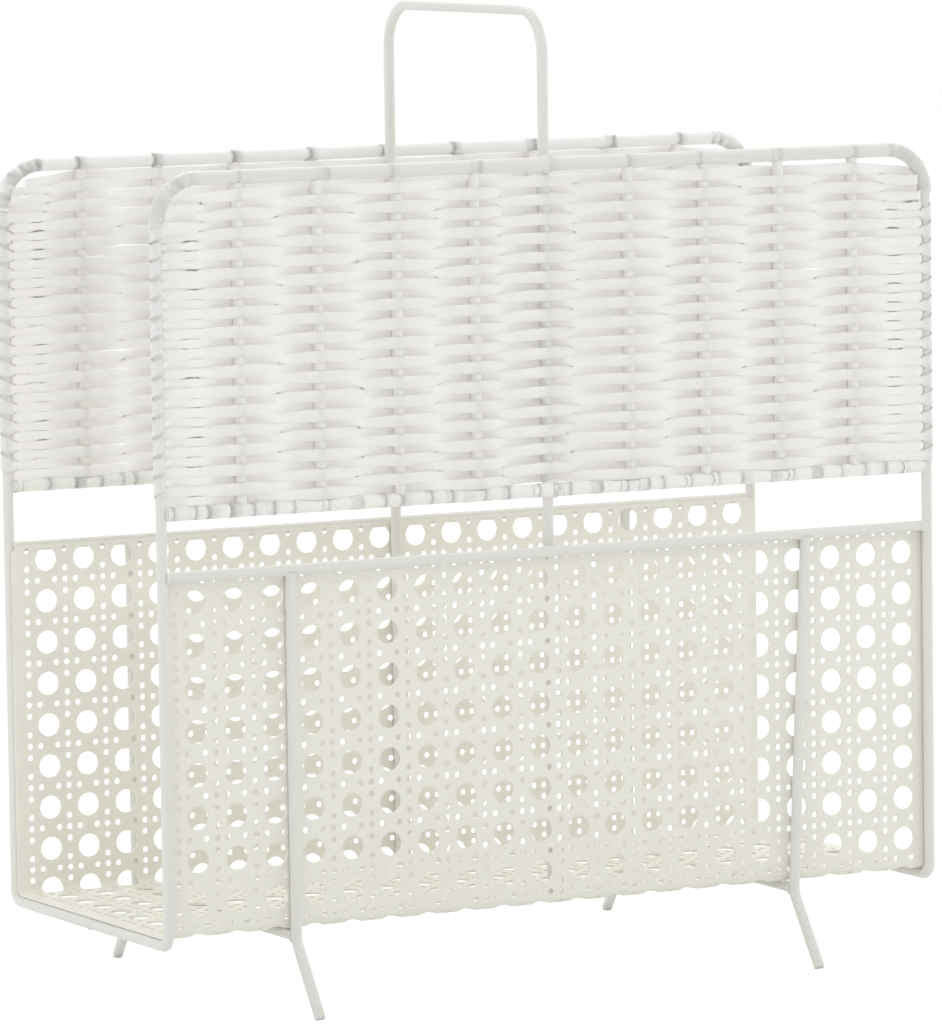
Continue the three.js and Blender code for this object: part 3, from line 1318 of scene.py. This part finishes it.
    def lower(self, pattern: Piece) -> None:
        """Cover the lower rail with a smooth length of tape, with turns in uneven steps.

        Args:
            pattern: One turn.
        """
        s = self.sizes
        y = s.depth(self.side)
        end = RIGHT * (s.half_width - s.wire_radius)
        middle = Vector((0, y, s.weave_rail_height))
        bands = [self.cover([Corner(middle - end), Corner(middle + end)])]
        step_luck = random.Random(self.step_seed + self.side.value)
        luck = random.Random(self.lower_seed + self.side.value)
        reach = s.half_width - s.wire_radius - self.turn_width / 2
        x = -reach
        while x < reach:
            lean = Euler((luck.uniform(0, math.tau), 0, luck.gauss(self.mean_lean, 1) * self.tilt))
            place = Matrix.Translation((x, y, s.weave_rail_height)) @ lean.to_matrix().to_4x4()
            size = 1 + luck.gauss(0, self.tighter)
            bands.append(copy_to(pattern, place @ Matrix.Diagonal((1, size, size, 1))))
            x += step_luck.uniform(self.step_low, self.step_high)
        bands += self.lashing(s.weave_rail_height)
        node = f"{self.side.word}_lower_binding"
        dress(f"{node}_tape", bands, self.lower_finish, [node])


# Studio


@dataclass
class Studio:
    """A white floor, a soft white tent with two lamps, and the camera."""

    camera_at: Vector = Vector((-1.5644, -2.9590, 0.5471))
    azimuth: float = math.radians(-27.87)
    pitch: float = math.radians(5.69)
    roll: float = math.radians(-0.816)
    lens_share: float = 7163.4 / 1024
    sensor: float = 36.0
    sight: float = 40.0
    floor_size: float = 12.0
    floor_white: float = 0.93
    floor_paint: str = "F2F2F2"
    floor_thin_paint: str = "6F6F6F"
    tent_right: float = 1.6
    tent_left: float = 1.1
    tent_rear: float = 0.3
    tent_front: float = 0.15
    tent_top: float = 1.2
    lamps_aim: Vector = Vector((0, 0, 0.22))
    lamp_at: Vector = Vector((-0.45, -3.2, 0.95))
    lamp_size: float = 0.4
    lamp_power: float = 8.0
    rear_lamp_at: Vector = Vector((0.3, 1.9, 2.2))
    rear_lamp_size: float = 1.0
    rear_lamp_power: float = 18.0

    def build(self) -> None:
        """Set up the floor, the light and the camera."""
        self.floor()
        self.world()
        self.lamp("front_lamp", self.lamp_at, self.lamp_size, self.lamp_power)
        self.lamp("high_rear_lamp", self.rear_lamp_at, self.rear_lamp_size, self.rear_lamp_power)
        self.camera()
        bpy.context.scene.view_settings.view_transform = "Standard"

    def by_ray(self, tree: Tree, lighting: bpy.types.Node, seen: bpy.types.Node) -> Socket:
        """Show one shader to rays that see the surroundings, and one to rays that light the basket.

        Args:
            tree: The node tree.
            lighting: The shader for the light.
            seen: The shader for camera, gloss and transmission rays.

        Returns:
            The socket with the shader that fits the ray.
        """
        path = add_node(tree, "ShaderNodeLightPath", {})
        sight = path.outputs["Is Camera Ray"]
        for name in ("Is Glossy Ray", "Is Transmission Ray"):
            either = {0: sight, 1: path.outputs[name]}
            sight = add_node(tree, "ShaderNodeMath", either, operation="MAXIMUM").outputs[0]
        choice = {0: sight, 1: lighting.outputs[0], 2: seen.outputs[0]}
        return add_node(tree, "ShaderNodeMixShader", choice).outputs[0]

    def floor(self) -> None:
        """Lay a wide pale floor that the camera sees as white, with the basket's soft shadow."""
        deselect()
        bpy.ops.mesh.primitive_plane_add(size=self.floor_size, location=(0, 0, 0))
        floor = take_new()
        floor.name = "studio_floor"
        material, tree = new_material("white studio floor")
        matt = {"Color": linear(self.floor_paint), "Roughness": 0.3}
        paint = add_node(tree, "ShaderNodeBsdfDiffuse", matt)
        thin = {"Color": linear(self.floor_thin_paint)}
        thin_paint = add_node(tree, "ShaderNodeBsdfDiffuse", thin)
        white = add_node(tree, "ShaderNodeEmission", {"Color": WHITE, "Strength": self.floor_white})
        shaders = {0: white.outputs[0], 1: thin_paint.outputs[0]}
        both = add_node(tree, "ShaderNodeAddShader", shaders)
        add_node(tree, "ShaderNodeOutputMaterial", {"Surface": self.by_ray(tree, paint, both)})
        floor.data.materials.append(material)

    def world(self) -> None:
        """Light the basket from all round, most from its ends and above, before a white background."""
        world = bpy.data.worlds.new("soft white tent")
        bpy.context.scene.world = world
        world.use_nodes = True
        tree = world.node_tree
        tree.nodes.clear()
        direction = add_node(tree, "ShaderNodeTexCoord", {}).outputs["Generated"]
        halves = (
            ("MAXIMUM", (self.tent_right, self.tent_rear, self.tent_top)),
            ("MINIMUM", (self.tent_left, self.tent_front, 0.0)),
        )
        sums = {}
        for number, (operation, levels) in enumerate(halves):
            cut = {0: direction, 1: (0, 0, 0)}
            half = add_node(tree, "ShaderNodeVectorMath", cut, operation=operation).outputs[0]
            factors = {0: half, 1: half}
            square = add_node(tree, "ShaderNodeVectorMath", factors, operation="MULTIPLY").outputs[0]
            weights = {0: square, 1: levels}
            total = add_node(tree, "ShaderNodeVectorMath", weights, operation="DOT_PRODUCT")
            sums[number] = total.outputs["Value"]
        strength = add_node(tree, "ShaderNodeMath", sums, operation="ADD").outputs[0]
        light = add_node(tree, "ShaderNodeBackground", {"Color": WHITE, "Strength": strength})
        white = add_node(tree, "ShaderNodeBackground", {"Color": WHITE, "Strength": 1.0})
        add_node(tree, "ShaderNodeOutputWorld", {"Surface": self.by_ray(tree, light, white)})

    def lamp(self, name: str, at: Vector, size: float, power: float) -> None:
        """Hang a square lamp that faces the basket's middle.

        Args:
            name: The lamp's name.
            at: Where it hangs.
            size: The length of its sides.
            power: Its power in watts.
        """
        deselect()
        facing = (self.lamps_aim - at).to_track_quat("-Z", "Y").to_euler()
        bpy.ops.object.light_add(type="AREA", location=at, rotation=facing)
        lamp = bpy.context.object
        lamp.name = name
        lamp.data.size = size
        lamp.data.energy = power

    def camera(self) -> None:
        """Set the camera at the photograph's place, with its turn and its narrow lens."""
        a, b, c = self.azimuth, self.pitch, self.roll
        ahead = Vector((-math.sin(a) * math.cos(b), math.cos(a) * math.cos(b), -math.sin(b)))
        level = Vector((math.cos(a), math.sin(a), 0))
        above = level.cross(ahead)
        right = level * math.cos(c) + above * math.sin(c)
        top = above * math.cos(c) - level * math.sin(c)
        turned = Matrix((right, top, -ahead)).transposed()
        deselect()
        bpy.ops.object.camera_add(location=self.camera_at, rotation=turned.to_euler())
        camera = bpy.context.object
        camera.name = "camera"
        camera.data.sensor_fit = "AUTO"
        camera.data.sensor_width = self.sensor
        camera.data.lens = self.sensor * self.lens_share
        camera.data.clip_end = self.sight
        bpy.context.scene.camera = camera


def main() -> None:
    """Build the studio and dress every piece of the basket."""
    logging.basicConfig(level=logging.INFO, format="%(name)s %(message)s")
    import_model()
    sizes = BasketSizes.from_frame()
    bench = WireBench(radius=sizes.wire_radius)
    # Wire and sheet are one white powder coat in two copies: the wire's darker tone is painted shade for
    # how the thin round wire catches the light, and the sheet's lighter tone is painted light
    wire = PowderCoat("powder coated steel wire", "E7E6E1", "E4E3DD").material()
    # The stakes are bare coated wire, but they get a lighter, translucent tape material instead of the
    # wire's coat: painted light that lifts the shade they sit in between the strands
    stake_painted_lift = WeavingTape(
        "milky plastic sleeve on the stakes", "F5F3EE", "F1EFEA", glow_depth=1.2 * MM
    ).material()
    sheet = PowderCoat("powder coated perforated steel", "F2F1E7", "EDEBE1").material()
    tape = WeavingTape("milky weaving tape", "F4F2EF", "EFEDEA", Relief.RIBS).material()
    # The wound tape is the same tape as the weave, in lit and shaded copies: the front rim's darker tone
    # is painted shade, and the rear rim's and the lower rails' lighter tones are painted light
    front_rim = WeavingTape(
        "milky tape wound over the front rim", "EBEAE5", "E4E3DD", glow=0.25
    ).material()
    rear_rim = WeavingTape(
        "milky tape wound over the rear rim", "FDFCF8", "F8F7F2", glow=0.6
    ).material()
    lower = WeavingTape(
        "milky tape wound over the lower rails", "F9F8F3", "F4F3EC", glow=0.5
    ).material()

    Studio().build()
    for side in Side:
        HoopFrame(side, sizes, bench, wire, stake_painted_lift).build()
    ButtWelds(sizes, wire).build()
    CarryHandle(sizes, bench, wire).build()
    Underframe(sizes, bench, wire).build()
    PerforatedPocket(sizes, sheet).build()
    for side in Side:
        WovenPanel(side, sizes, tape).build()
    for side, rim in ((Side.FRONT, front_rim), (Side.REAR, rear_rim)):
        RailBindings(side, sizes, bench, rim, lower).build()


if __name__ == "__main__":
    main()
